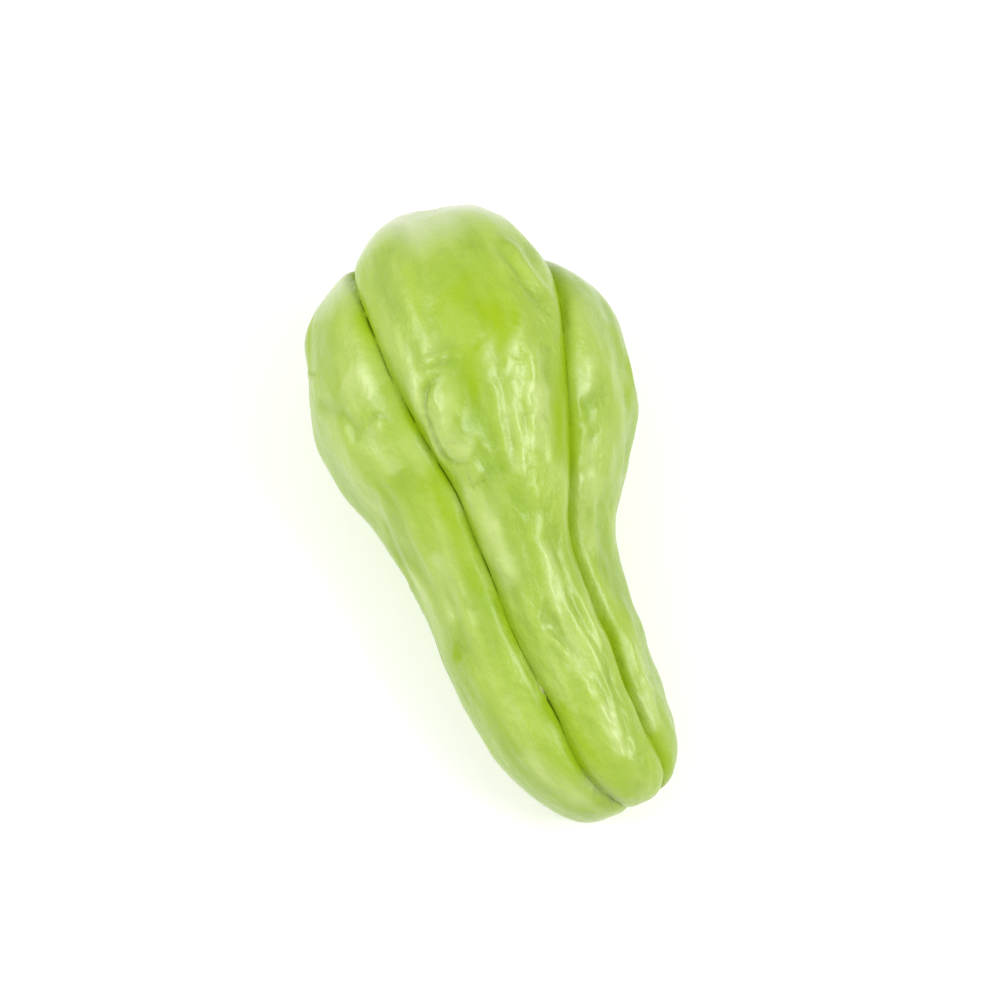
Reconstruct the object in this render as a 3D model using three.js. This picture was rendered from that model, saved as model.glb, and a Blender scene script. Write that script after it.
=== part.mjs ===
// A chayote squash: a pear-shaped fruit that grew as one piece, lying on its flatter side.
// Millimetres. +Y runs from the narrow stem end to the wide blossom end and +Z is up. The origin is on
// the surface that the fruit rests on, under the middle of its box.
//
// The fruit is a smooth pear shape round a bent spine, with its relief raised or sunk along the normals:
// five furrows that part five lobes, the stem pit, the cleft of the blossom end and soft swellings.

import * as THREE from "three";
import { ImprovedNoise } from "three/addons/math/ImprovedNoise.js";

// Driving dimensions

const LENGTH = 154;
const STEM_CAP = 27; // length of the rounded stem end
const BLOSSOM_CAP = 46; // length of the rounded blossom end
const STEM_CAP_POWER = 2.1; // 2 is an ellipse, more is blunter
const BLOSSOM_CAP_POWER = 2.3;
const REST_FLAT = 0.8; // how much the underside is pressed flat where it rests

// The spine bows to the left on its way from the stem end and rises towards the wide end.
const SPINE = new THREE.CubicBezierCurve3(
  new THREE.Vector3(13, -3.5, 13),
  new THREE.Vector3(-2.5, 47, 22.5),
  new THREE.Vector3(-7, 97, 33),
  new THREE.Vector3(-2, 147, 30.6),
);

// Half sizes of the pear along the spine: distance from the stem end, then left, right, top and bottom
const SECTIONS = [
  [0, 21.5, 19.8, 19, 19],
  [29, 24.9, 19.2, 20, 20],
  [40, 25.6, 21.7, 20.4, 20.2],
  [50, 26.2, 21.8, 21, 20.5],
  [66, 27, 23.2, 23, 22],
  [80, 30, 32, 27, 26],
  [92, 36, 37.5, 31, 30],
  [105, 38.5, 39.5, 34, 32],
  [154, 40.5, 39, 35, 32],
];

// The furrows, anticlockwise as seen from the stem end. A route gives the angle from +X at distances
// from the stem end, and a depth is in millimetres there.
const FURROWS = [
  {
    name: "right of the crown lobe",
    route: [
      [0, 48], [11, 54], [21, 53], [37, 55], [62, 56], [87, 56],
      [109, 51], [132, 39], [145, 25], [154, 10],
    ],
    depth: [[0, 2], [21, 3.5], [62, 3.4], [109, 3.4], [132, 3.6], [146, 3.6], [154, 0.5]],
  },
  {
    name: "left of the crown lobe",
    route: [
      [0, 109], [10, 117.5], [17, 116.5], [27, 113], [37, 114], [62, 115], [87, 115],
      [109, 121], [132, 132], [145, 150], [154, 170],
    ],
    depth: [[0, 2], [21, 3.5], [62, 3.6], [109, 4], [132, 4.4], [146, 4], [154, 0.5]],
  },
  {
    name: "left flank",
    route: [[0, 200], [37, 206], [67, 204], [92, 200], [109, 199], [132, 199], [154, 188]],
    depth: [[0, 0], [87, 0], [103, 0.6], [118, 1.8], [132, 3], [146, 3.6], [154, 0.5]],
  },
  {
    name: "underside",
    route: [[0, 262], [37, 268], [109, 272], [154, 270]],
    depth: [[0, 2], [37, 3], [109, 3], [134, 2.4], [154, 0.5]],
  },
  {
    name: "right flank",
    route: [[0, 330], [37, 334], [62, 338], [109, 344], [132, 347], [154, 355]],
    depth: [[0, 2], [37, 2.6], [87, 2.2], [109, 2.4], [132, 3], [146, 3.6], [154, 0.5]],
  },
];
const LOBE_POWER = 3.2; // how squarely a lobe fills out before it falls into its furrows
const CREASE_SHARE = 0.45; // depth of the sharp fold at the bottom of a furrow, as a share of the furrow's
const CREASE_WIDTH = 1.1;

// The stem pit, where the furrows meet
const PIT_DEPTH = 5;
const PIT_RADIUS = 6;

// The cleft across the blossom end, and the tongue of flesh that stands in it
const CLEFT_DEPTH = 17;
const CLEFT_HALF_LENGTH = 30;
const CLEFT_HALF_WIDTH = 7.5;
const TONGUE = { across: 4, up: -1.5, height: 8, halfLength: 10, halfWidth: 3.6 };

// Soft swellings: distance from the stem end, angle, height, and how far they reach along and round
const SWELLINGS = [
  { along: 132, angle: 90, height: 2, reach: 20, spread: 40 },
  { along: 143, angle: 62, height: 2.5, reach: 12, spread: 24 },
  { along: 146, angle: 122, height: 2, reach: 9, spread: 20 },
  { along: 147, angle: 14, height: -9, reach: 15, spread: 34 },
  { along: 147, angle: 168, height: -5.5, reach: 12, spread: 26 },
  { along: 4, angle: 75, height: 3.4, reach: 9, spread: 42 },
  { along: 122, angle: 178, height: -1.3, reach: 6, spread: 25 },
  { along: 106, angle: 180, height: 1.1, reach: 5, spread: 25 },
  { along: 86, angle: 180, height: -1.2, reach: 6, spread: 25 },
  { along: 45, angle: 0, height: -1.4, reach: 6, spread: 30 },
  { along: 27, angle: 0, height: 1.3, reach: 6, spread: 30 },
];
const WAVES = [
  { height: 0.9, across: 17, along: 26 },
  { height: 0.35, across: 8, along: 15 },
];

// Grid: rings in each cap and between them, and the places of the columns across one lobe
const STEM_RINGS = 15;
const BODY_RINGS = 28;
const BLOSSOM_RINGS = 32;
const BLOSSOM_CROWDING = 1.2; // above 1 crowds the rings towards the cleft
const LOBE_COLUMNS = [0, 0.025, 0.07, 0.14, 0.24, 0.36, 0.5, 0.64, 0.76, 0.86, 0.93, 0.975];

const SKIN = { color: 0xa9c84f, roughness: 0.38, metalness: 0 };

// A smooth curve through [place, value] pairs, level at both ends
function through(pairs, place, column = 1) {
  const last = pairs.length - 1;
  if (place <= pairs[0][0]) return pairs[0][column];
  if (place >= pairs[last][0]) return pairs[last][column];
  const next = pairs.findIndex((pair) => pair[0] > place);
  const slope = (i) => {
    if (i === 0 || i === last) return 0;
    return (pairs[i + 1][column] - pairs[i - 1][column]) / (pairs[i + 1][0] - pairs[i - 1][0]);
  };
  const span = pairs[next][0] - pairs[next - 1][0];
  const s = (place - pairs[next - 1][0]) / span;
  const rise = s * s * (3 - 2 * s);
  return (
    pairs[next - 1][column] * (1 - rise) +
    pairs[next][column] * rise +
    slope(next - 1) * span * s * (1 - s) * (1 - s) -
    slope(next) * span * s * s * (1 - s)
  );
}

// How far the section has opened at a distance from the stem end: 0 at both poles and 1 between the caps
function opening(along) {
  const arc = (short, power) => Math.pow(Math.max(0, 1 - Math.pow(short, power)), 1 / power);
  if (along < STEM_CAP) return arc(1 - along / STEM_CAP, STEM_CAP_POWER);
  const left = LENGTH - along;
  return left < BLOSSOM_CAP ? arc(1 - left / BLOSSOM_CAP, BLOSSOM_CAP_POWER) : 1;
}

// Half sizes of the pear at a distance and angle
function reach(along, angle) {
  const open = opening(along);
  const cos = Math.cos(angle);
  const sin = Math.sin(angle);
  return {
    across: open * cos * through(SECTIONS, along, cos < 0 ? 1 : 2),
    up: open * sin * through(SECTIONS, along, sin > 0 ? 3 : 4),
  };
}

const UP = new THREE.Vector3(0, 0, 1);

// A point of the smooth pear
function pearPoint(along, angle) {
  const share = THREE.MathUtils.clamp(along / LENGTH, 0, 1);
  const tangent = SPINE.getTangentAt(share);
  const side = new THREE.Vector3().crossVectors(tangent, UP).normalize();
  const lift = new THREE.Vector3().crossVectors(side, tangent);
  const { across, up } = reach(along, angle);
  return SPINE.getPointAt(share).addScaledVector(side, across).addScaledVector(lift, up);
}

// The outward normal there, from the points round it
function pearNormal(along, angle) {
  if (along <= 0) return SPINE.getTangentAt(0).negate();
  if (along >= LENGTH) return SPINE.getTangentAt(1);
  const step = Math.min(0.3, along / 2, (LENGTH - along) / 2);
  const turn = 0.02;
  const alongStep = pearPoint(along + step, angle).sub(pearPoint(along - step, angle));
  const roundStep = pearPoint(along, angle + turn).sub(pearPoint(along, angle - turn));
  return alongStep.cross(roundStep).normalize();
}

// The lobes fall away to a furrow on each side. place runs from 0 at one furrow to 1 at the next.
function lobeRelief(lobe, place, along, width) {
  const before = through(FURROWS[lobe].depth, along);
  const after = through(FURROWS[(lobe + 1) % FURROWS.length].depth, along);
  const depth = before + (after - before) * place;
  const edge = Math.min(place, 1 - place) * width;
  const crease = CREASE_SHARE * Math.exp(-edge / CREASE_WIDTH);
  return -depth * (Math.pow(Math.abs(2 * place - 1), LOBE_POWER) + crease);
}

// The pit and the cleft, from the place in the face of the end: across and up from the pole
function endRelief(along, across, up) {
  if (along < STEM_CAP) return -PIT_DEPTH * Math.exp(-(across ** 2 + up ** 2) / PIT_RADIUS ** 2);
  if (along < LENGTH - BLOSSOM_CAP) return 0;
  const within = 1 - THREE.MathUtils.smoothstep(Math.abs(across), 0.5 * CLEFT_HALF_LENGTH, CLEFT_HALF_LENGTH);
  const cleft = CLEFT_DEPTH * within * Math.exp(-Math.pow(Math.abs(up) / CLEFT_HALF_WIDTH, 2.6));
  const tongueAcross = (across - TONGUE.across) / TONGUE.halfLength;
  const tongueUp = (up - TONGUE.up) / TONGUE.halfWidth;
  const tongue = TONGUE.height * Math.exp(-((tongueAcross ** 2 + tongueUp ** 2) ** 1.5));
  return tongue - cleft;
}

const noise = new ImprovedNoise();

// Swellings and slow waves of the skin
function waveRelief(along, angle, point) {
  let height = 0;
  for (const s of SWELLINGS) {
    const round = THREE.MathUtils.euclideanModulo(THREE.MathUtils.radToDeg(angle) - s.angle + 180, 360) - 180;
    height += s.height * Math.exp(-(((along - s.along) / s.reach) ** 2) - (round / s.spread) ** 2);
  }
  for (const w of WAVES) {
    height += w.height * noise.noise(point.x / w.across, point.y / w.along, point.z / w.across);
  }
  return height;
}

// Angle of a furrow in radians, counted on past a full turn for the one that closes the ring
function furrowAngle(index, along) {
  const turns = Math.floor(index / FURROWS.length);
  const route = FURROWS[index % FURROWS.length].route;
  return THREE.MathUtils.degToRad(through(route, along) + 360 * turns);
}

// A point of the skin, at a distance from the stem end and a place across a lobe
function skinPoint(along, lobe, place) {
  const from = furrowAngle(lobe, along);
  const to = furrowAngle(lobe + 1, along);
  const angle = from + (to - from) * place;
  const point = pearPoint(along, angle);
  const { across, up } = reach(along, angle);
  const width = (to - from) * Math.hypot(across, up);
  const relief =
    lobeRelief(lobe, place, along, width) * opening(along) +
    endRelief(along, across, up) +
    waveRelief(along, angle, point) * opening(along);
  return point.addScaledVector(pearNormal(along, angle), relief);
}

// Distances of the rings from the stem end, closer together where the caps turn in
function ringPlaces() {
  const places = [];
  for (let i = 1; i < STEM_RINGS; i += 1) {
    places.push(STEM_CAP * (1 - Math.cos(((Math.PI / 2) * i) / STEM_RINGS)));
  }
  for (let i = 0; i <= BODY_RINGS; i += 1) {
    places.push(STEM_CAP + ((LENGTH - STEM_CAP - BLOSSOM_CAP) * i) / BODY_RINGS);
  }
  for (let i = BLOSSOM_RINGS - 1; i > 0; i -= 1) {
    const turn = (Math.PI / 2) * Math.pow(i / BLOSSOM_RINGS, BLOSSOM_CROWDING);
    places.push(LENGTH - BLOSSOM_CAP * (1 - Math.cos(turn)));
  }
  return places;
}

// Two triangles that part a four-sided face along its shorter diagonal
function splitQuad(points, [a, b, c, d]) {
  const shorter = points[a].distanceTo(points[c]) < points[b].distanceTo(points[d]);
  return shorter ? [a, b, c, a, c, d] : [a, b, d, b, c, d];
}

// The closed skin: rings of points from pole to pole
function skinGeometry() {
  const rings = ringPlaces();
  const columns = FURROWS.length * LOBE_COLUMNS.length;
  const points = [skinPoint(0, 0, 0)];
  for (const along of rings) {
    for (let lobe = 0; lobe < FURROWS.length; lobe += 1) {
      for (const place of LOBE_COLUMNS) points.push(skinPoint(along, lobe, place));
    }
  }
  points.push(skinPoint(LENGTH, 0, 0));

  const at = (ring, column) => 1 + ring * columns + (column % columns);
  const faces = [];
  for (let c = 0; c < columns; c += 1) {
    faces.push(0, at(0, c), at(0, c + 1));
    for (let r = 0; r + 1 < rings.length; r += 1) {
      faces.push(...splitQuad(points, [at(r, c), at(r + 1, c), at(r + 1, c + 1), at(r, c + 1)]));
    }
    faces.push(points.length - 1, at(rings.length - 1, c + 1), at(rings.length - 1, c));
  }
  const geometry = new THREE.BufferGeometry().setFromPoints(points);
  geometry.setIndex(faces);
  return geometry;
}

// Puts the fruit on the surface, presses the low spots flat, and centres it over the origin.
function setDown(geometry) {
  geometry.computeBoundingBox();
  const { min, max } = geometry.boundingBox;
  geometry.translate(-(min.x + max.x) / 2, -(min.y + max.y) / 2, -min.z - REST_FLAT);
  const position = geometry.getAttribute("position");
  for (let i = 0; i < position.count; i += 1) {
    position.setZ(i, Math.max(0, position.getZ(i)));
  }
  geometry.computeVertexNormals();
  return geometry;
}

const chayote = new THREE.Mesh(setDown(skinGeometry()), new THREE.MeshStandardMaterial(SKIN));
chayote.name = "chayote";

const part = new THREE.Group();
part.add(chayote);

export default part;
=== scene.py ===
# %% [markdown]
# # A chayote squash on a pale table
#
# A chayote is a pear-shaped fruit that grows as one piece: no stem is left on it, and nothing is joined
# to it. Its look comes from three things. Deep furrows part it into lobes, the skin between them is
# pebbled and wrinkled lengthwise, and the pale green skin is glossy enough to show soft, broken
# highlights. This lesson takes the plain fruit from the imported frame, gives it a fine mesh, raises and
# sinks its relief in the mesh itself, and then paints and polishes the skin with a node material.

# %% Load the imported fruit
import math
import random

import bmesh
import bpy
import numpy as np
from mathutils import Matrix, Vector, noise
from mathutils.bvhtree import BVHTree
from mathutils.kdtree import KDTree


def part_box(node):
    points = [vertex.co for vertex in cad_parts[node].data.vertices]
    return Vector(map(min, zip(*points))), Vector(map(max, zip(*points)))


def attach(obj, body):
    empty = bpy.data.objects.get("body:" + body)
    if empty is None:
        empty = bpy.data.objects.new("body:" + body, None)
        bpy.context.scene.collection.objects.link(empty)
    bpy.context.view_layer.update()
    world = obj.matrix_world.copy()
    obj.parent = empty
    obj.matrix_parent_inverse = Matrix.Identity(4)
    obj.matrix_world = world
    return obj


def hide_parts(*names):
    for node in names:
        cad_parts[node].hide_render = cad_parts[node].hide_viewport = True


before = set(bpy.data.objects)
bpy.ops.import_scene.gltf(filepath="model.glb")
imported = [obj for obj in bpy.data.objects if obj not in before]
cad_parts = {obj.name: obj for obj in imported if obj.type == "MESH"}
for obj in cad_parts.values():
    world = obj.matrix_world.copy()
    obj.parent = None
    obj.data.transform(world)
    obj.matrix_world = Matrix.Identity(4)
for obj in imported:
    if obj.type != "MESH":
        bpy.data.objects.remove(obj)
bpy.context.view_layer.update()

MM = 0.001


# %% [markdown]
# ## The camera
#
# The photograph looks steeply down on the fruit, with its narrow stem end at the bottom of the picture.
# A camera could be turned by hand until it looks right. Here it is placed by numbers instead: how far it
# is turned round the table, how high it stands, how far away it is and the point that it looks at. The
# same numbers later tell where a spot of the picture lies on the skin.

# %% Place the camera
TURN = math.radians(-13)
HEIGHT_ANGLE = math.radians(72)
DISTANCE = 0.66  # metres from the point that the camera looks at
AIM = Vector((0.0011, 0.0025, 0.0339))
LENS = 100  # millimetres
SENSOR = 36
PICTURE = 1000  # the picture's width and height in pixels

towards_camera = Vector((
    math.sin(TURN) * math.cos(HEIGHT_ANGLE),
    -math.cos(TURN) * math.cos(HEIGHT_ANGLE),
    math.sin(HEIGHT_ANGLE),
))
camera_turn = towards_camera.to_track_quat("Z", "Y")
camera_right = camera_turn @ Vector((1, 0, 0))
camera_up = camera_turn @ Vector((0, 1, 0))

bpy.ops.object.select_all(action="DESELECT")
bpy.ops.object.camera_add(location=AIM + towards_camera * DISTANCE, rotation=camera_turn.to_euler())
camera = bpy.context.active_object
camera.name = "camera"
camera.data.lens = LENS
camera.data.sensor_width = SENSOR
bpy.context.scene.camera = camera
print("camera at", [round(v, 3) for v in camera.location])

# %% [markdown]
# ## A fine mesh for the skin
#
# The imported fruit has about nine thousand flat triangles, which is too few for wrinkles a millimetre
# wide. Sculpting by hand would do, but it can't be repeated from a script. Instead, a copy of the
# mesh is merged, turned back into four-sided faces and smoothed by a Subdivision Surface. Strips that
# are wide at the belly are split in two first, so that the fine faces come out nearly square.

# %% Copy the fruit and make its faces four-sided
BELLY_Y = 0.042  # where the fruit is widest, along its length
BELLY_WINDOW = 0.003
WIDE_STRIP = 0.0053  # strips wider than this at the belly are split
SAME_POINT = 0.01 * MM
CROSSWISE = 0.4  # an edge that climbs along the fruit by less than this share of its length runs across

skin_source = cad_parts["chayote"]
fruit = bpy.data.objects.new("chayote_fruit", skin_source.data.copy())
bpy.context.scene.collection.objects.link(fruit)
bpy.ops.object.select_all(action="DESELECT")
fruit.select_set(True)
bpy.context.view_layer.objects.active = fruit
fruit.data.materials.clear()

bpy.ops.object.mode_set(mode="EDIT")
bpy.ops.mesh.select_mode(type="EDGE")
bpy.ops.mesh.select_all(action="SELECT")
bpy.ops.mesh.remove_doubles(threshold=SAME_POINT)
bpy.ops.mesh.tris_convert_to_quads(face_threshold=math.pi, shape_threshold=math.pi)
bpy.ops.mesh.select_all(action="DESELECT")

mesh_edit = bmesh.from_edit_mesh(fruit.data)
for edge in mesh_edit.edges:
    first, second = (v.co for v in edge.verts)
    across = abs(second.y - first.y) < CROSSWISE * (second - first).length
    at_belly = abs((first.y + second.y) / 2 - BELLY_Y) < BELLY_WINDOW
    edge.select_set(across and at_belly and (second - first).length > WIDE_STRIP)
bmesh.update_edit_mesh(fruit.data)
bpy.ops.mesh.loop_multi_select(ring=True)
bpy.ops.mesh.subdivide(number_cuts=1)
bpy.ops.object.mode_set(mode="OBJECT")
print("faces with four sides:", sum(len(f.vertices) == 4 for f in fruit.data.polygons),
      "of", len(fruit.data.polygons))

# %% [markdown]
# ## Sharp folds
#
# A furrow ends in a sharp fold, where two lobes press against each other. A Subdivision Surface would
# round it off, so the folded edges get a crease weight: every lengthwise edge that bends inwards by more
# than a set angle. The weight also survives on the fine mesh, where it later tells how far each point of
# the skin lies from the nearest fold.

# %% Keep the folds sharp and subdivide
FOLD_ANGLE = math.radians(24)
LENGTHWISE = 0.5  # an edge that climbs by more than this share of its length runs lengthwise
LEVELS = 2

bpy.ops.object.mode_set(mode="EDIT")
bpy.ops.mesh.select_all(action="DESELECT")
mesh_edit = bmesh.from_edit_mesh(fruit.data)
folds = 0
for edge in mesh_edit.edges:
    folded = len(edge.link_faces) == 2 and edge.calc_face_angle_signed() < -FOLD_ANGLE
    first, second = (v.co for v in edge.verts)
    lengthwise = abs(second.y - first.y) > LENGTHWISE * (second - first).length
    edge.select_set(folded and lengthwise)
    folds += folded and lengthwise
bmesh.update_edit_mesh(fruit.data)
bpy.ops.transform.edge_crease(value=1)
bpy.ops.object.mode_set(mode="OBJECT")

finer = fruit.modifiers.new("finer", "SUBSURF")
finer.levels = LEVELS
finer.render_levels = LEVELS
bpy.ops.object.modifier_apply(modifier=finer.name)
bpy.ops.object.shade_smooth()
print("folded edges:", folds, " fine faces:", len(fruit.data.polygons))

# %% [markdown]
# ## How far each point lies from a fold
#
# Nearly everything on this skin is arranged round the furrows: they are darker, their edges pucker,
# and the lobes between them carry the ripples. So the distance to the nearest fold is measured once, in
# millimetres, for every point. A tree of points finds the nearest one quickly.

# %% Measure the distance to the folds
CREASED = 0.5  # the crease weight from which an edge belongs to a fold


def read_vectors(name):
    """The places or the normals of all points of the mesh, in rows of three numbers."""
    values = np.empty(len(fruit.data.vertices) * 3, np.float32)
    fruit.data.vertices.foreach_get(name, values)
    return values.reshape(-1, 3).astype(float)


def points_on_folds():
    """The numbers of the points that the creased edges run through."""
    ends = np.empty(len(fruit.data.edges) * 2, np.int32)
    fruit.data.edges.foreach_get("vertices", ends)
    weight = np.empty(len(fruit.data.edges), np.float32)
    fruit.data.attributes["crease_edge"].data.foreach_get("value", weight)
    return np.unique(ends.reshape(-1, 2)[weight > CREASED])


smooth_points = read_vectors("co")
smooth_normals = read_vectors("normal")
fold_points = points_on_folds()
fold_tree = KDTree(len(fold_points))
for count, point in enumerate(fold_points):
    fold_tree.insert(smooth_points[point], count)
fold_tree.balance()
fold_distance = np.array([fold_tree.find(p)[2] for p in smooth_points]) / MM
print("points on folds:", len(fold_points), " furthest from a fold, mm:", round(fold_distance.max(), 1))

# %% [markdown]
# ## Places on the straightened fruit
#
# The fruit grew along a bent line and is narrow at one end, and its ripples follow: they run from end to
# end and crowd together on the neck. A pattern laid straight through space would cut across them. So
# each point gets a second place, as if the fruit were straightened and filled out to a round log with
# rounded ends: its turn round the middle line, and its distance along. The patterns read that place.

# %% Straighten the fruit
LOG_RADIUS = 30 * MM
END_RADIUS = 22 * MM  # the fruit's radius below which the log gets thinner too
SLICES = 30
END_SLICES = 2  # slices left out at each end, where the fruit rounds off
BENDS = 3  # the degree of the curve through the middles of the slices


def middle_line(axis):
    """The middle of the fruit on an axis at each point, from a curve through the middles of slices."""
    along = smooth_points[:, 1]
    across = smooth_points[:, axis]
    cuts = np.linspace(along.min(), along.max(), SLICES + 1)[END_SLICES:-END_SLICES]
    middles = []
    for start, end in zip(cuts, cuts[1:]):
        slice_points = across[(along >= start) & (along < end)]
        middles.append(((start + end) / 2, (slice_points.min() + slice_points.max()) / 2))
    return np.polyval(np.polyfit(*np.transpose(middles), BENDS), along)


from_middle = np.column_stack([
    smooth_points[:, 0] - middle_line(0),
    smooth_points[:, 2] - middle_line(2),
])
radius = np.linalg.norm(from_middle, axis=1)
log_across = from_middle * (LOG_RADIUS * np.tanh(radius / END_RADIUS) / radius)[:, None]
log_points = np.column_stack([log_across[:, 0], smooth_points[:, 1], log_across[:, 1]])
print("middle line bends by", round(np.ptp(middle_line(0)) / MM, 1), "mm")

# %% [markdown]
# ## Ripples and pebbles
#
# The skin is never smooth. Long low ripples run from end to end, with pebbles on them where the light
# breaks up. Both are noise fields: smooth, irregular heights that depend only on the place, so they
# come out the same in every run. Stretching the field along the fruit turns round bumps into ripples. A
# folded field, which has sharp crests, gives the pinched look of wrinkles.

# %% Make noise fields and soft steps


def field(places, across, along, start):
    """Noise at each place, with bumps of about that size in millimetres across and along the fruit."""
    size = np.array([across, along, across]) * MM
    return np.array([noise.noise(Vector(p)) for p in places / size + start])


def rise(values, low, high):
    """0 below low, 1 above high and a smooth rise between them."""
    share = np.clip((values - low) / (high - low), 0, 1)
    return share * share * (3 - 2 * share)


def bell(distance, width, power=2):
    """1 at no distance and less and less away from it, with a sharper top for a lower power."""
    return np.exp(-((distance / width) ** power))


print("half way up a rise:", float(rise(0.5, low=0, high=1)),
      " one width away on a bell:", round(float(bell(1, width=1)), 2))

# %% [markdown]
# The skin isn't equally rough all over. The furrows are smooth, and so is the skin where the fruit rests.
# The wide end and the left lobe are smoother than the crown, and the ripples die away at the stem end.
# Each of these is a share from 0 to 1 for every point, and they are multiplied.

# %% Say where the skin is rough
lobe_share = rise(fold_distance, low=1, high=7)  # 0 in a furrow and 1 on a lobe
off_table = rise(smooth_points[:, 2] / MM, low=0.3, high=5)  # keeps the resting spots flat
from_blossom = (smooth_points[:, 1].max() - smooth_points[:, 1]) / MM
from_stem = (smooth_points[:, 1] - smooth_points[:, 1].min()) / MM
left_lobe = rise(-from_middle[:, 0] / radius, low=0.35, high=0.7)

# How rough the skin stays at the wide end, on the left lobe and at the stem end, where 1 is the crown
WIDE_END_ROUGH = 0.45
LEFT_LOBE_ROUGH = 0.55
STEM_END_ROUGH = 0.2
rough_share = WIDE_END_ROUGH + (1 - WIDE_END_ROUGH) * rise(from_blossom, low=22, high=55)
rough_share *= 1 - (1 - LEFT_LOBE_ROUGH) * left_lobe
rough_share *= STEM_END_ROUGH + (1 - STEM_END_ROUGH) * rise(from_stem, low=4, high=28)
print("roughness, smallest and mean:", round(rough_share.min(), 2), round(rough_share.mean(), 2))

# %% [markdown]
# The relief is four fields of different sizes, added up. The slow swells also run through the furrows,
# because they bend whole lobes, and the rest keeps to the lobes.

# %% Raise ripples and pebbles
RIPPLE_HEIGHT = 0.95  # these heights are in millimetres
CREST_HEIGHT = 0.5
PEBBLE_HEIGHT = 0.42
SWELL_HEIGHT = 0.6
CREST_MIDDLE = 0.3  # about the mean of the folded noise, so that crests neither swell nor shrink the fruit
ripples = RIPPLE_HEIGHT * field(log_points, across=5.5, along=26, start=3.1)
crests = CREST_HEIGHT * (CREST_MIDDLE - np.abs(field(log_points, across=5.2, along=15, start=17.7)))
pebbles = PEBBLE_HEIGHT * field(log_points, across=2.9, along=5.5, start=40.3)
swells = SWELL_HEIGHT * field(smooth_points, across=11, along=18, start=71.9)
height = lobe_share * rough_share * (ripples + crests + pebbles) + swells
print("ripples and pebbles, mm:", round(height.min(), 2), "to", round(height.max(), 2))

# %% [markdown]
# ## Furrows that pinch and waver
#
# Where two lobes meet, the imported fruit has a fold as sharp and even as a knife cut. The real one is
# rounder at the bottom, shallow in some places and deep in others, and never quite straight: the lobes
# bulge against each other in turn. So the bottom is filled up by an amount that changes along the
# fruit, a low lip is raised beside it, and the points near a fold are pushed sideways by a slow noise.

# %% Fill and sway the folds
FOLD_FILL = 1.1  # all in millimetres
FOLD_WIDTH = 1.0
LIP_HEIGHT = 0.35
LIP_PLACE = 3.2  # from the fold to the top of the lip
LIP_WIDTH = 1.8
SWAY = 0.9  # how far a fold wanders sideways
SWAY_REACH = 5.0


def uneven(values, noise_field, base, swing=1):
    """Values that a noise field thins and thickens by up to the swing, round a base share."""
    return values * (base + swing * noise_field)


open_share = rise(from_blossom, low=8, high=22)  # leaves the folds in the cleft as they are
fill_noise = field(smooth_points, across=60, along=9, start=5.5)
lip_noise = field(smooth_points, across=30, along=7, start=9.2)
fill = uneven(FOLD_FILL, fill_noise, base=1, swing=0.5)
height += fill * open_share * bell(fold_distance, FOLD_WIDTH, power=1)
height += uneven(LIP_HEIGHT * bell(fold_distance - LIP_PLACE, LIP_WIDTH), lip_noise, base=0.6)

sideways = np.cross(smooth_normals, [0.0, 1.0, 0.0])
wander = field(smooth_points, across=60, along=8, start=23.4)
sway = SWAY * wander * bell(fold_distance, SWAY_REACH) * open_share
print("folds sway by up to", round(np.abs(sway).max(), 2), "mm")

# %% [markdown]
# ## Marks placed one by one
#
# Some wrinkles can be pointed at: a curl round a raised blister, small creases, nicks, a pinch across the
# left furrow. They could be sculpted with a brush, which a script can't repeat. Here each one is a route
# of a few picture points, and a ray from the camera through each point finds the skin. So the mark sits
# on the fruit itself and shows from every side.

# %% Find the skin under a picture point
plain_mesh = BVHTree.FromObject(fruit, bpy.context.evaluated_depsgraph_get())
STEP = 4  # pixels between the rays of a route
TRIES = 4  # how often a ray that passes the fruit is drawn nearer to it


def picture_ray(x, y):
    """The direction from the camera through a point of the picture."""
    far = PICTURE * LENS / SENSOR
    middle = PICTURE / 2
    return (camera_right * (x - middle) - camera_up * (y - middle) - towards_camera * far).normalized()


def skin_under(x, y):
    """The skin that a picture point shows, or for one just off the outline the nearest skin to its ray."""
    ray = picture_ray(x, y)
    place = plain_mesh.ray_cast(camera.location, ray)[0]
    if place:
        return place
    far = DISTANCE
    for _ in range(TRIES):
        place = plain_mesh.find_nearest(camera.location + ray * far)[0]
        far = (place - camera.location).dot(ray)
    return place


def spread(route):
    """Points every few pixels along a route of picture points, on a smooth curve through them."""
    ends = [route[0], *route, route[-1]]
    for before, start, end, after in zip(ends, ends[1:], ends[2:], ends[3:]):
        steps = max(1, round(math.dist(start, end) / STEP))
        for i in range(steps):
            t = i / steps
            yield tuple(
                0.5 * (2 * b + (c - a) * t + (2 * a - 5 * b + 4 * c - d) * t * t
                       + (3 * b - a - 3 * c + d) * t ** 3)
                for a, b, c, d in zip(before, start, end, after)
            )
    yield route[-1]


def on_skin(route):
    return [skin_under(x, y) for x, y in spread(route)]


def on_fold(route):
    """The nearest fold to each point of a route, for what lies in a furrow."""
    return [fold_tree.find(place)[0] for place in on_skin(route)]


print("skin under the middle of the picture:", skin_under(PICTURE / 2, PICTURE / 2))

# %% [markdown]
# A route is a line of places on the skin, and a mark has a soft edge: full on the line, and nothing a few
# half widths away. Wrinkles run out at their ends, so a mark thins there too. Only the points in the box
# round the line are measured, which keeps it quick.

# %% Measure how close the skin is to a line
REACH = 4  # half widths from the line, past which a mark has died away
END_LEFT = 0.02  # keeps a little of a mark at the very ends of its line


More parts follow.
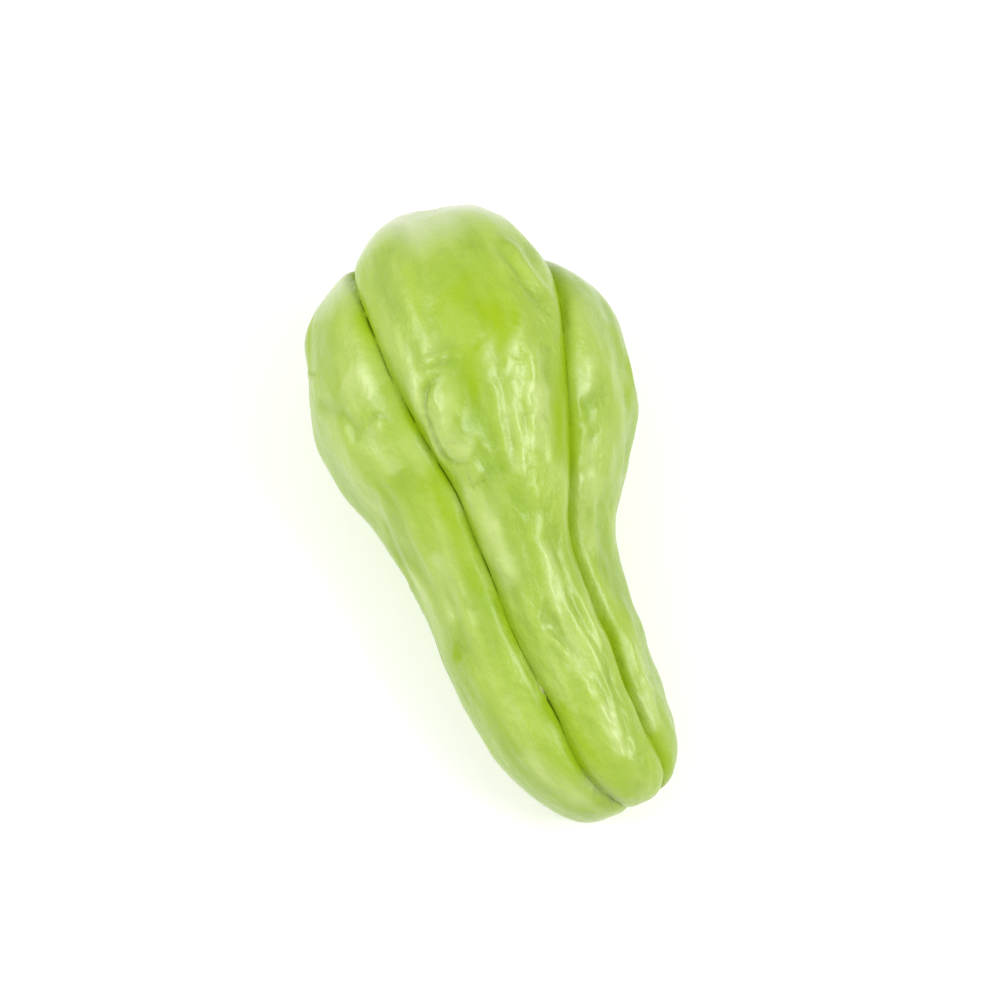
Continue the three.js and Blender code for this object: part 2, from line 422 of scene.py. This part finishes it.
def closeness(places, width, taper=0.3):
    """1 on a line of places and 0 away from it, thinning towards both ends of the line."""
    line = np.array(places)
    margin = REACH * width * MM
    inside = (smooth_points > line.min(0) - margin) & (smooth_points < line.max(0) + margin)
    near = np.where(np.all(inside, axis=1))[0]
    result = np.zeros(len(smooth_points))
    if not len(near):
        return result
    gaps = np.linalg.norm(smooth_points[near][:, None, :] - line[None], axis=2) / MM
    nearest = gaps.argmin(axis=1)
    share = nearest / max(1, len(line) - 1)
    ends = rise(np.minimum(share, 1 - share), low=-END_LEFT, high=taper) if taper else 1
    result[near] = bell(gaps.min(axis=1), width) * ends
    return result


crown_spot = closeness([skin_under(PICTURE / 2, PICTURE / 2)], width=5, taper=0)
print("points within a 5 mm spot of the crown:", int((crown_spot > math.exp(-1)).sum()))

# %% [markdown]
# These are the marks on the lobes, read off the photograph. Each has a height, a half width and
# a route. A raised mark has a height above nothing, and a sunk one below.

# %% List the marks on the lobes
MARKS = [
    # name, height in mm, half width in mm, route in picture points
    ("curl round the blister", -1.0, 0.8,
     [(456, 372), (445, 376), (434, 381), (426, 390), (425, 400), (427, 414), (436, 437), (445, 457),
      (456, 463), (478, 463)]),
    ("blister", 1.1, 3.4, [(437, 396), (441, 412), (449, 432), (458, 447)]),
    ("rim left of the curl", 0.55, 1.8, [(404, 352), (412, 378), (421, 405), (434, 438), (446, 470)]),
    ("dip above the curl", -0.5, 1.2, [(446, 352), (448, 370)]),
    ("swelling above the curl", 0.9, 4.2, [(438, 352), (442, 364)]),
    ("small crease", -0.6, 0.7, [(471, 489), (478, 484), (487, 480)]),
    ("small rise under the crease", 0.4, 1.8, [(470, 478), (484, 470)]),
    ("curl on the left lobe", -0.6, 0.8, [(366, 424), (374, 417), (384, 417), (391, 423)]),
    ("rise under the left curl", 0.4, 2.0, [(372, 428), (386, 430)]),
    ("flank fold", -0.8, 1.7, [(309, 392), (322, 406), (340, 413), (352, 428), (358, 452)]),
    ("flank bump", 0.5, 4.5, [(307, 372), (306, 378)]),
    ("groove on the left lobe", -0.4, 1.3, [(367, 480), (384, 520), (402, 560), (418, 590)]),
    ("ridge on the left lobe", 0.4, 1.6, [(390, 480), (408, 520), (428, 566), (446, 600)]),
    ("inner ridge on the left lobe", 0.35, 1.5, [(425, 500), (442, 535), (460, 580), (475, 614)]),
    ("first streak on the crown", 0.4, 1.3, [(494, 372), (497, 400), (501, 437), (503, 470)]),
    ("second streak on the crown", 0.4, 1.2, [(512, 402), (519, 437), (524, 480), (526, 515)]),
    ("third streak on the crown", 0.7, 2.2, [(528, 384), (534, 420), (538, 470), (537, 512)]),
    ("valley on the crown", -0.15, 1.6, [(482, 400), (488, 430), (490, 461), (495, 512), (504, 560)]),
    ("valley between the streaks", -0.3, 1.1, [(508, 410), (512, 440), (515, 480)]),
    ("cross wrinkle on the crown", -0.35, 0.6, [(536, 413), (543, 417), (551, 424)]),
    ("upper nick", -0.35, 0.6, [(511, 277), (521, 285)]),
    ("long nick", -0.4, 0.65, [(535, 305), (543, 310), (551, 318)]),
    ("lower nick", -0.3, 0.6, [(537, 343), (546, 347), (555, 353)]),
    ("ridge inside the right rim", 0.9, 1.5, [(498, 233), (519, 254), (539, 284), (555, 297)]),
    ("groove inside the ridge", -0.6, 1.3, [(494, 243), (512, 263), (530, 291), (546, 306)]),
    ("top right bump", 0.5, 2.4, [(604, 308), (607, 312)]),
    ("right bump", 0.5, 2.4, [(621, 333), (624, 338)]),
    ("dip on the right lobe", -0.6, 1.6, [(580, 408), (594, 400), (611, 395)]),
    ("zigzag ridge on the neck", 0.45, 1.0,
     [(537, 620), (545, 634), (561, 645), (570, 664), (585, 681), (590, 704)]),
    ("groove beside the zigzag", -0.3, 0.9, [(546, 616), (558, 632), (574, 650), (586, 668)]),
    ("second ridge on the neck", 0.4, 1.1, [(569, 612), (579, 633), (591, 650), (602, 677)]),
    ("groove on the neck", -0.3, 1.2, [(560, 560), (573, 600), (590, 630), (606, 660)]),
    ("first wrinkle by the pinch", -0.35, 0.6, [(512, 686), (522, 689), (532, 693)]),
    ("second wrinkle by the pinch", -0.3, 0.6, [(515, 698), (526, 699), (536, 703)]),
    ("thin ridge on the right lobe", 0.45, 1.0,
     [(620, 620), (629, 642), (637, 663), (645, 680), (652, 696), (658, 732)]),
]
print("marks on the lobes:", len(MARKS))

# %% [markdown]
# The furrows have marks of their own: a pinch, where the skin bridges the left furrow, and stretches that
# are shallower or deeper than the rest. These follow the nearest fold and not the skin under the ray,
# because a fold is too narrow to hit. A few patches on the lobes have more small pebbles than elsewhere,
# and break the highlights up.

# %% List the marks in the furrows and the patches
FOLD_MARKS = [
    ("pinch across the left furrow", 1.0, 1.2, [(534, 680), (541, 690), (548, 700)]),
    ("shallow start of the left furrow", 0.4, 1.4, [(372, 312), (384, 350), (398, 392), (418, 428)]),
    ("shallow middle of the left furrow", 0.15, 1.4, [(462, 512), (478, 548), (498, 596), (520, 648)]),
    ("stretch below the pinch", 0.1, 1.2, [(546, 703), (554, 716), (562, 732), (569, 746)]),
    ("deep part of the right furrow", -0.3, 1.5, [(628, 688), (637, 706), (646, 722)]),
]

PEBBLED_PATCHES = [(483, 352), (497, 360), (507, 372), (535, 392), (537, 422), (588, 372), (590, 432),
                   (590, 468), (592, 508), (548, 620), (560, 650), (612, 715), (622, 745), (645, 690)]
print("marks in the furrows:", len(FOLD_MARKS), " pebbled patches:", len(PEBBLED_PATCHES))

# %% [markdown]
# Every mark now adds its height where the skin is close to its line. The narrow sunk marks also become a
# mask for painted shade, which darkens them in the colour beyond the shade that their depth casts.

# %% Press and raise the marks
PATCH_RADIUS = 4.5  # all in millimetres
PATCH_HEIGHT = 0.55
CREASE_LIMIT = 1.2  # a sunk mark narrower than this is dark as well


def spots(places, size):
    """Round marks at picture points, with a radius in millimetres."""
    result = np.zeros(len(smooth_points))
    for place in places:
        result = np.maximum(result, closeness([skin_under(*place)], size, taper=0))
    return result


patches = spots(PEBBLED_PATCHES, PATCH_RADIUS)
height += PATCH_HEIGHT * patches * field(log_points, across=1.9, along=3, start=55.5)

crease_shade = np.zeros(len(smooth_points))
dark_marks = []
for name, mark_height, width, route in MARKS:
    mark = closeness(on_skin(route), width)
    height += mark_height * mark
    # a narrow sunk mark also gets painted shade in the colour
    if mark_height < 0 and width < CREASE_LIMIT:
        crease_shade = np.maximum(crease_shade, mark * min(1, -mark_height))
        dark_marks.append(name)
for name, mark_height, width, route in FOLD_MARKS:
    height += mark_height * closeness(on_fold(route), width)
    print("in a furrow:", name)
print("dark as well as sunk:", dark_marks)

# %% [markdown]
# ## Wrinkles on the sides and the back
#
# The sides and the back have wrinkles of the same kind. The photograph doesn't show them, so they are
# drawn by chance from a seeded generator, which gives the same wrinkles in every run. Each starts at a
# point of the skin that the camera doesn't see and wanders lengthwise.

# %% Scatter wrinkles where the camera doesn't look
SEED = 11
WRINKLES = 70
WRINKLE_STEP = 1.2 * MM
WRINKLE_STEPS = (4, 16)  # fewest and most
WRINKLE_WIDTHS = (0.6, 1.4)  # half widths in mm
WRINKLE_HEIGHTS = [-0.45, -0.3, 0.35]
START_DRIFT = 0.5  # sideways for each step lengthwise, at most
DRIFT_CHANGE = 0.35
SEEN = 0.1  # skin that faces the camera more than this gets no wrinkle
LOWEST_START = 6 * MM
NEAREST_FOLD = 3  # mm

chance = random.Random(SEED)
unseen = smooth_normals @ np.array(towards_camera) < SEEN
away = np.where(unseen & (smooth_points[:, 2] > LOWEST_START) & (fold_distance > NEAREST_FOLD))[0]
for _ in range(WRINKLES):
    start = Vector(smooth_points[away[chance.randrange(len(away))]])
    drift = chance.uniform(-START_DRIFT, START_DRIFT)
    line = [start]
    for _ in range(chance.randint(*WRINKLE_STEPS)):
        on, up, _, _ = plain_mesh.find_nearest(line[-1])
        lengthwise = Vector((0, 1, 0)) - up * up.y
        crosswise = up.cross(lengthwise)
        drift += chance.uniform(-DRIFT_CHANGE, DRIFT_CHANGE)
        step = (lengthwise.normalized() + crosswise.normalized() * drift).normalized()
        line.append(plain_mesh.find_nearest(on + step * WRINKLE_STEP)[0])
    height += chance.choice(WRINKLE_HEIGHTS) * closeness(line, chance.uniform(*WRINKLE_WIDTHS))
print("wrinkles scattered:", WRINKLES)

# %% [markdown]
# ## The skin in its place
#
# All heights are now added up, and the points move once: along the skin's normal by the height, and
# sideways by the sway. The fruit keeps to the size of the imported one, so the moved points are held
# inside its box.

# %% Move the skin
lowest, highest = (np.array(corner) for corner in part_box("chayote"))
moved = smooth_points + smooth_normals * (height * off_table * MM)[:, None]
moved += sideways * (sway * off_table * MM)[:, None]
moved = np.clip(moved, lowest, highest)
fruit.data.vertices.foreach_set("co", moved.astype(np.float32).ravel())
fruit.data.update()
print("skin moved by", round(height.min(), 2), "to", round(height.max(), 2), "mm")

# %% [markdown]
# ## Where the colours change
#
# The colour of the skin follows its relief, and here most of it is painted light and shade. The folds and
# a soft band beside them get painted shade in dark olive, the hollows get painted shade and the crests
# painted light, the flanks, which turn away from the camera, get painted shade too, and skin that faces
# the wide end gets a pale painted reflection. These masks are stored on the points of the mesh as named
# attributes, which the material reads. An attribute stays on the skin when the fruit is seen from any
# side, which a picture projected from the camera wouldn't.

# %% Store the masks that follow the relief
FOLD_BAND = 1.4  # mm
FURROW_BAND = 3.4


def store(name, values):
    mask = fruit.data.attributes.new(name, "FLOAT", "POINT")
    mask.data.foreach_set("value", np.clip(values, 0, 1).astype(np.float32))


relief = height - swells
side_facing = np.abs(from_middle[:, 0]) / radius
furrow_noise = field(smooth_points, across=30, along=8, start=31.7)
end_noise = field(log_points, across=6, along=14, start=14.1)
flank_noise = field(log_points, across=9, along=20, start=83.2)
end_facing = rise(smooth_normals[:, 1], low=0.2, high=1)
# Painted shade: the fold mask and the furrow band darken the colour beside the folds, standing in for the
# shade deep in the furrows.
store("fold", bell(fold_distance, FOLD_BAND, power=1.5))
store("furrow", uneven(bell(fold_distance, FURROW_BAND), furrow_noise, base=0.75, swing=0.8))
# Painted reflection: skin that faces the wide end is made pale, standing in for the bright surroundings
# that it reflects at a flat angle.
store("painted rim reflection", uneven(end_facing, end_noise, base=0.85, swing=0.8))
# painted shade in the hollows of the relief and painted light on its crests
store("hollow", rise(-relief, low=-0.05, high=0.45) * lobe_share)
store("crest", rise(relief, low=0.1, high=0.6) * lobe_share)
# painted shade on the flanks, which turn away from the camera
store("flank", uneven(rise(side_facing, low=0.8, high=1), flank_noise, base=0.9))
# painted shade along the narrow sunk marks
store("crease", crease_shade)
straight = fruit.data.attributes.new("log_place", "FLOAT_VECTOR", "POINT")
straight.data.foreach_set("vector", log_points.astype(np.float32).ravel())
print("share of the skin in a furrow:", round(float((fold_distance < FURROW_BAND).mean()), 2))

# %% [markdown]
# Other colours don't follow the relief. Pale streaks run lengthwise where the photo shows highlights:
# they are mostly painted highlights, with some of the skin's own pale streaks among them. Rich green
# streaks run lengthwise where the photo shows them, and the last two of them darken the left and right
# outline as painted shade. A few dull blotches lie on the crown, and the left furrow has a pale speck at
# the pinch and a greyish stretch near the stem end. They are placed in the same way as the marks. Noise
# breaks each one up, because an even streak would look painted.

# %% List the streaks and blotches
# mostly painted highlights, with some of the skin's own pale streaks among them
PALE_AND_HIGHLIGHT_STREAKS = [
    # half width in mm, route in picture points
    (4.5, [(346, 372), (358, 382), (374, 396)]),
    (2.4, [(362, 428), (378, 446), (398, 474)]),
    (2.4, [(364, 484), (376, 505), (392, 532), (408, 562), (428, 604), (446, 650)]),
    (2.6, [(432, 552), (444, 586), (456, 624)]),
    (1.6, [(404, 336), (411, 372), (420, 404), (434, 438), (446, 464)]),
    (5.0, [(420, 340), (426, 350), (430, 360)]),
    (3.2, [(442, 392), (446, 415), (456, 442), (474, 450)]),
    (2.6, [(464, 482), (478, 500), (490, 524), (502, 556), (514, 590)]),
    (2.2, [(480, 345), (488, 353), (497, 364)]),
    (3.0, [(534, 380), (538, 416), (537, 452)]),
    (1.5, [(505, 400), (512, 436), (518, 476)]),
    (2.6, [(586, 352), (589, 402)]),
    (2.4, [(590, 430), (592, 480), (588, 530), (594, 562)]),
    (2.2, [(540, 540), (556, 590), (572, 640), (588, 676)]),
    (2.6, [(603, 700), (614, 728), (628, 758)]),
    (1.5, [(634, 646), (646, 684), (654, 728)]),
    (2.5, [(520, 750), (552, 780), (590, 805)]),
]
RICH_AND_EDGE_SHADE_STREAKS = [
    (8.0, [(446, 286), (466, 300), (490, 316), (520, 330)]),
    (3.0, [(474, 336), (472, 372), (467, 404), (466, 432)]),
    (2.5, [(560, 700), (576, 732), (598, 772)]),
    (3.0, [(452, 648), (462, 660)]),
    (2.0, [(606, 636), (616, 664), (626, 690)]),
    (2.0, [(560, 330), (561, 372), (558, 420), (556, 470)]),
    (2.5, [(420, 470), (446, 512), (468, 556), (486, 600)]),
    # the last two darken the right and the left outline: painted shade
    (3.0, [(618, 312), (626, 350), (630, 400), (627, 450)]),
    (3.0, [(312, 318), (309, 344), (310, 376)]),
]
BLOTCHES = [(385, 255), (470, 243), (508, 245), (530, 250), (462, 650), (441, 356), (488, 470),
            (466, 424)]
MOTTLED_FURROW = [(583, 763), (592, 777), (601, 788), (612, 800), (623, 808)]
PALE_SPECK = [(538, 690), (544, 691)]
print("pale streaks:", len(PALE_AND_HIGHLIGHT_STREAKS), " rich streaks:", len(RICH_AND_EDGE_SHADE_STREAKS), " blotches:", len(BLOTCHES))

# %% [markdown]
# Each list becomes a mask of its own, in the same way as the ones above. The streaks use the straightened
# place, so that their breaks run with the ripples.

# %% Store the masks placed by eye
BLOTCH_RADIUS = 3.4  # all in millimetres
MOTTLE_WIDTH = 2.4
SPECK_WIDTH = 0.7


def streaks(routes):
    """Soft streaks on the skin along routes of picture points, broken up lengthwise."""
    result = np.zeros(len(smooth_points))
    for width, route in routes:
        result = np.maximum(result, closeness(on_skin(route), width, taper=0.15))
    return uneven(result, field(log_points, across=2.5, along=9, start=61.3), base=0.75, swing=0.9)


blotch_noise = field(smooth_points, across=2, along=2, start=4.4)
mottle_noise = field(smooth_points, across=1.2, along=1.2, start=8.8)
# painted highlights along the lobes, with some pale skin streaks
store("pale and highlight streak", streaks(PALE_AND_HIGHLIGHT_STREAKS))
# rich green skin streaks, and painted shade along the outline
store("rich and edge shade streak", streaks(RICH_AND_EDGE_SHADE_STREAKS))
store("blotch", uneven(spots(BLOTCHES, BLOTCH_RADIUS), blotch_noise, base=0.8))
mottle = closeness(on_fold(MOTTLED_FURROW), MOTTLE_WIDTH)
store("mottle", uneven(mottle, mottle_noise, base=0.7, swing=0.9))
store("speck", closeness(on_fold(PALE_SPECK), SPECK_WIDTH, taper=0))
print("masks:", [a.name for a in fruit.data.attributes if a.data_type == "FLOAT" and a.domain == "POINT"])

# %% [markdown]
# ## The skin
#
# Chayote skin is thin, waxy and slightly see-through, with pale green flesh under it. It is one Principled
# shader. Its patterns are noise on the straightened fruit, so that they run lengthwise like everything
# else on it, and the masks come in through attribute nodes.

# %% Nodes for patterns and masks
skin = bpy.data.materials.new("chayote skin")
skin.use_nodes = True
nodes = skin.node_tree.nodes
links = skin.node_tree.links
shader = nodes["Principled BSDF"]
place_node = nodes.new("ShaderNodeAttribute")
place_node.attribute_name = "log_place"


def noise_pattern(bump_mm, stretch=1.0, detail=3.0, offset=0.0):
    """Noise on the straightened fruit, with bumps of that size, drawn out along it."""
    mapping = nodes.new("ShaderNodeMapping")
    mapping.inputs["Location"].default_value = (offset, offset, offset)
    mapping.inputs["Scale"].default_value = (1, 1 / stretch, 1)
    pattern = nodes.new("ShaderNodeTexNoise")
    pattern.inputs["Scale"].default_value = 1 / (bump_mm * MM)
    pattern.inputs["Detail"].default_value = detail
    links.new(place_node.outputs["Vector"], mapping.inputs["Vector"])
    links.new(mapping.outputs["Vector"], pattern.inputs["Vector"])
    return pattern.outputs["Fac"]


def mask_value(name):
    node = nodes.new("ShaderNodeAttribute")
    node.attribute_name = name
    return node.outputs["Fac"]


print("patterns read:", place_node.attribute_name)

# %% [markdown]
# Three small helpers join values: one stretches a range, one multiplies, and one mixes two colours by a
# share. Building them as functions keeps the long chain of colours readable.

# %% Nodes for mixing


def between(value, low, high, to_low=0.0, to_high=1.0):
    """Turns the range low to high into to_low to to_high."""
    node = nodes.new("ShaderNodeMapRange")
    node.inputs["From Min"].default_value = low
    node.inputs["From Max"].default_value = high
    node.inputs["To Min"].default_value = to_low
    node.inputs["To Max"].default_value = to_high
    links.new(value, node.inputs["Value"])
    return node.outputs["Result"]


def product(first, second):
    node = nodes.new("ShaderNodeMath")
    node.operation = "MULTIPLY"
    for value, socket in zip((first, second), node.inputs):
        if isinstance(value, float):
            socket.default_value = value
        else:
            links.new(value, socket)
    return node.outputs["Value"]


def mixed(first, second, share):
    """A colour between two, by a share. A colour is a socket or three numbers."""
    node = nodes.new("ShaderNodeMix")
    node.data_type = "RGBA"
    links.new(share, node.inputs["Factor"])
    for colour, socket in ((first, node.inputs["A"]), (second, node.inputs["B"])):
        if isinstance(colour, tuple):
            socket.default_value = (*colour, 1)
        else:
            links.new(colour, socket)
    return node.outputs["Result"]


print("nodes so far:", len(nodes))

# %% [markdown]
# The colour starts from two greens in large soft patches, with paler and deeper streaks in them. Then
# each mask mixes in a colour of its own: first what lies on the lobes, and last the furrows with what
# lies in them. The numbers are the shares of red, green and blue light that come back.

# %% Colour the skin
LEAF_GREEN = (0.306, 0.455, 0.029)
LIME_GREEN = (0.349, 0.491, 0.043)
# pale skin, and painted light on the crests
PALE_GREEN_AND_LIGHT = (0.427, 0.548, 0.121)
# painted highlights, and pale skin streaks
PALE_AND_HIGHLIGHT_GREEN = (0.460, 0.575, 0.165)
# rich green skin, and painted shade along the outline
RICH_AND_EDGE_SHADE_GREEN = (0.288, 0.425, 0.004)
# painted shade for the narrow creases
CREASE_SHADE_OLIVE = (0.190, 0.305, 0.005)
# deep green skin, and painted shade in the hollows and on the flanks
DEEP_GREEN_AND_SHADE = (0.213, 0.356, 0.008)
# painted reflection at the rim of the wide end
RIM_REFLECTION_PALE = (0.590, 0.655, 0.410)
# painted shade for the furrow band and the folds
FURROW_SHADE_OLIVE = (0.250, 0.395, 0.002)
FOLD_SHADE_OLIVE = (0.245, 0.380, 0.001)
MOTTLE_GREY = (0.210, 0.260, 0.100)
SPECK_TAN = (0.480, 0.470, 0.220)

patch_share = between(noise_pattern(18, stretch=2), low=0.35, high=0.65)
pale_share = between(noise_pattern(5, stretch=6, offset=0.3), low=0.45, high=0.68, to_high=0.6)
deep_share = between(noise_pattern(7, stretch=3, offset=0.5), low=0.50, high=0.70, to_high=0.5)
colour = mixed(LEAF_GREEN, LIME_GREEN, patch_share)
colour = mixed(colour, PALE_GREEN_AND_LIGHT, pale_share)
colour = mixed(colour, DEEP_GREEN_AND_SHADE, deep_share)
LAYERS = [
    # mask, colour, share where the mask is full
    # painted shade on the flanks
    ("flank", DEEP_GREEN_AND_SHADE, 0.45),
    # painted reflection at the rim of the wide end
    ("painted rim reflection", RIM_REFLECTION_PALE, 0.9),
    # painted light on the crests
    ("crest", PALE_GREEN_AND_LIGHT, 0.35),
    # painted highlights, with some pale skin streaks
    ("pale and highlight streak", PALE_AND_HIGHLIGHT_GREEN, 0.9),
    # rich green skin streaks, and painted shade along the outline
    ("rich and edge shade streak", RICH_AND_EDGE_SHADE_GREEN, 0.9),
    # painted shade in the hollows
    ("hollow", DEEP_GREEN_AND_SHADE, 0.35),
    ("blotch", DEEP_GREEN_AND_SHADE, 0.6),
    # painted shade in the narrow creases
    ("crease", CREASE_SHADE_OLIVE, 0.4),
    # painted shade in the furrow band and on the folds
    ("furrow", FURROW_SHADE_OLIVE, 0.75),
    ("fold", FOLD_SHADE_OLIVE, 0.6),
    ("mottle", MOTTLE_GREY, 0.7),
    ("speck", SPECK_TAN, 0.6),
]
for mask, tint, share in LAYERS:
    colour = mixed(colour, tint, product(mask_value(mask), share))
links.new(colour, shader.inputs["Base Color"])
print("colour layers:", len(LAYERS))

# %% [markdown]
# The wax on a chayote is a thin second surface, so the shine is a coat over a softer base. The wax is thin
# in the furrows and on the rich green streaks, so they shine less and look deeper. A little light goes
# into the flesh and comes out beside where it went in.

# %% Polish the skin
SHINE = 0.45
WAX = 0.6
WAX_ROUGHNESS = 0.27
WAX_IOR = 1.4
GLOWING_FLESH = 0.15
FLESH_RADIUS = (0.8, 1.0, 0.25)  # how far red, green and blue light spread, as shares of the depth
FLESH_DEPTH = 3 * MM

gloss = product(between(mask_value("furrow"), low=0.1, high=0.7, to_low=1.0, to_high=0.0),
                between(mask_value("rich and edge shade streak"), low=0.0, high=1.0, to_low=1.0, to_high=0.25))
links.new(product(gloss, SHINE), shader.inputs["Specular IOR Level"])
links.new(product(gloss, WAX), shader.inputs["Coat Weight"])
shader.inputs["Coat Roughness"].default_value = WAX_ROUGHNESS
shader.inputs["Coat IOR"].default_value = WAX_IOR
shader.inputs["Subsurface Weight"].default_value = GLOWING_FLESH
shader.inputs["Subsurface Radius"].default_value = FLESH_RADIUS
shader.inputs["Subsurface Scale"].default_value = FLESH_DEPTH
dullness_noise = noise_pattern(4, stretch=2, offset=0.7)
dullness = between(dullness_noise, low=0.3, high=0.7, to_low=0.34, to_high=0.50)
links.new(dullness, shader.inputs["Roughness"])
print("coat over the base:", WAX, " roughness of the wax:", WAX_ROUGHNESS)

# %% [markdown]
# Pores and the finest pebbles are smaller than the faces of the mesh. They change only how the light
# breaks up, not the outline, so a Bump node is enough: one for the pebbles, and a finer one over it.

# %% Grain the skin


def bump(height_socket, depth_mm, under=None):
    node = nodes.new("ShaderNodeBump")
    node.inputs["Strength"].default_value = 1
    node.inputs["Distance"].default_value = depth_mm * MM
    links.new(height_socket, node.inputs["Height"])
    if under:
        links.new(under, node.inputs["Normal"])
    return node.outputs["Normal"]


grain = bump(noise_pattern(1.8, stretch=1.6, detail=4, offset=0.11), depth_mm=0.6)
grain = bump(noise_pattern(0.5, stretch=1.2, detail=2, offset=0.19), depth_mm=0.04, under=grain)
links.new(grain, shader.inputs["Normal"])
fruit.data.materials.append(skin)
print("nodes in the skin:", len(nodes))

# %% [markdown]
# ## Table and light
#
# The photograph is bright and nearly without shadow, as inside a white tent. A pale table and a white
# sky give that base light and the pale rims on the sides of the fruit's outline, where the skin reflects
# its surroundings at a flat angle. The pale rim round the wide end is a painted reflection in the skin's
# colour.

# %% Lay the table and light the sky
TABLE_SIZE = 6.0
TABLE_WHITE = (0.86, 0.86, 0.85, 1)
TABLE_ROUGHNESS = 0.7
TABLE_GLOW = 0.2  # the table is lit from below as well
SKY_WHITE = (1.0, 1.0, 1.0, 1)
SKY_STRENGTH = 0.62

bpy.ops.object.select_all(action="DESELECT")
bpy.ops.mesh.primitive_plane_add(size=TABLE_SIZE, location=(0, 0, 0))
floor = bpy.context.active_object
floor.name = "table"
table_paint = bpy.data.materials.new("pale table")
table_paint.use_nodes = True
paint = table_paint.node_tree.nodes["Principled BSDF"]
paint.inputs["Base Color"].default_value = TABLE_WHITE
paint.inputs["Roughness"].default_value = TABLE_ROUGHNESS
paint.inputs["Emission Color"].default_value = SKY_WHITE
paint.inputs["Emission Strength"].default_value = TABLE_GLOW
floor.data.materials.append(table_paint)

sky = bpy.data.worlds.new("white tent")
sky.use_nodes = True
sky.node_tree.nodes["Background"].inputs["Color"].default_value = SKY_WHITE
sky.node_tree.nodes["Background"].inputs["Strength"].default_value = SKY_STRENGTH
bpy.context.scene.world = sky
print("table, m across:", TABLE_SIZE, " sky strength:", SKY_STRENGTH)

# %% [markdown]
# The highlights in the photograph lie in two rows, left and right of each lobe's top, so there are two
# lights. Each is an oblong box, because a round lamp would leave round spots on the wax. They are placed
# along the camera's own directions, which makes it easy to say from where the light comes in the picture.

# %% Set the soft boxes


def soft_box(name, right, up, back, level, steep, power):
    """An oblong light, placed along the camera's own axes, with its level side and its steep side."""
    place = AIM + camera_right * right + camera_up * up + towards_camera * back
    turn = (place - AIM).to_track_quat("Z", "Y").to_euler()
    bpy.ops.object.light_add(type="AREA", location=place, rotation=turn)
    lamp = bpy.context.active_object
    lamp.name = name
    lamp.data.shape = "RECTANGLE"
    lamp.data.size = level
    lamp.data.size_y = steep
    lamp.data.energy = power
    return lamp


soft_box("left soft box", right=-0.62, up=0.18, back=0.62, level=0.6, steep=0.32, power=4.2)
soft_box("right soft box", right=0.52, up=0.16, back=0.70, level=0.5, steep=0.22, power=4.5)
bpy.context.scene.view_settings.view_transform = "Standard"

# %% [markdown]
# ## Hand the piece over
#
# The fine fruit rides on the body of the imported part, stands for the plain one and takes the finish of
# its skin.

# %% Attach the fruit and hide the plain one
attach(fruit, "root")
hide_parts("chayote")
